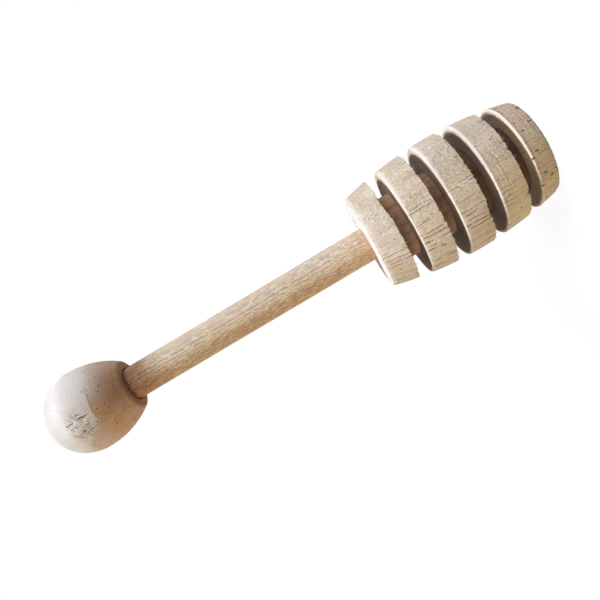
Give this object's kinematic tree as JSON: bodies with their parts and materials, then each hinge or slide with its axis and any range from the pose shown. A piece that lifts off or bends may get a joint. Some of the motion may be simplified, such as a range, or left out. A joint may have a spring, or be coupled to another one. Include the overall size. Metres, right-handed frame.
{
  "type": "honey dipper",
  "caption": "Small wooden honey dipper: a turned barrel head cut by square honey grooves, a thin dowel handle and an egg-shaped end knob.",
  "frame": {"origin": "centre of the head's flat far end, which the dipper stands on", "axes": "+Z along the turning axis, from the head's flat far end up through the handle to the knob; X and Y are any two square directions across it"},
  "size_m": [0.022, 0.022, 0.1017],
  "materials": {
    "head_wood": "raw turned beech, unfinished, matt",
    "dowel_wood": "raw dowel stock, unfinished, matt",
    "knob_wood": "raw turned beech, lightly sanded, matt",
    "glue": "cured wood glue"
  },
  "bodies": {
    "root": {"dipper_head": "head_wood", "handle_dowel": "dowel_wood", "end_knob": "knob_wood", "head_glue": "glue", "knob_glue": "glue"}
  },
  "joints": []
}
